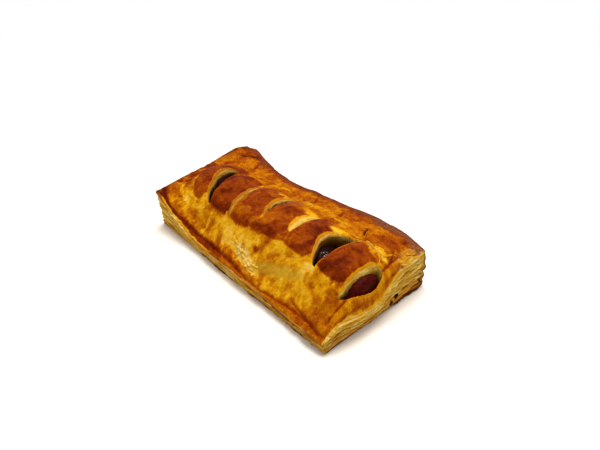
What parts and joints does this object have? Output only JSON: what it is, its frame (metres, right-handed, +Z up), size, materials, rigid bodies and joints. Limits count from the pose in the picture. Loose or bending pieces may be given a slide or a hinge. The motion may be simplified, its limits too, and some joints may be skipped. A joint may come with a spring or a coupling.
{
  "type": "sausage roll",
  "caption": "Slit puff-pastry roll with a dark skinless sausage that shows through its crosswise openings; baked brown strips on top, flaky cut edges and a folded back.",
  "frame": {"origin": "bottom centre of the bounding box, on the flat base", "axes": "+X along the roll towards its low end where the sausage shows most, +Y towards the folded long side, -Y towards the pressed long side, +Z up"},
  "size_m": [0.1699, 0.0834, 0.0338],
  "materials": {
    "pastry": "baked puff pastry: golden crust with red-brown egg-washed strips, dark browned rims and pale flaky cut edges, half gloss where it was brushed with egg",
    "sausage": "dark red-brown fried skinless sausage, bumpy and moist"
  },
  "bodies": {
    "root": {"pastry": "pastry", "sausage": "sausage"}
  },
  "joints": []
}
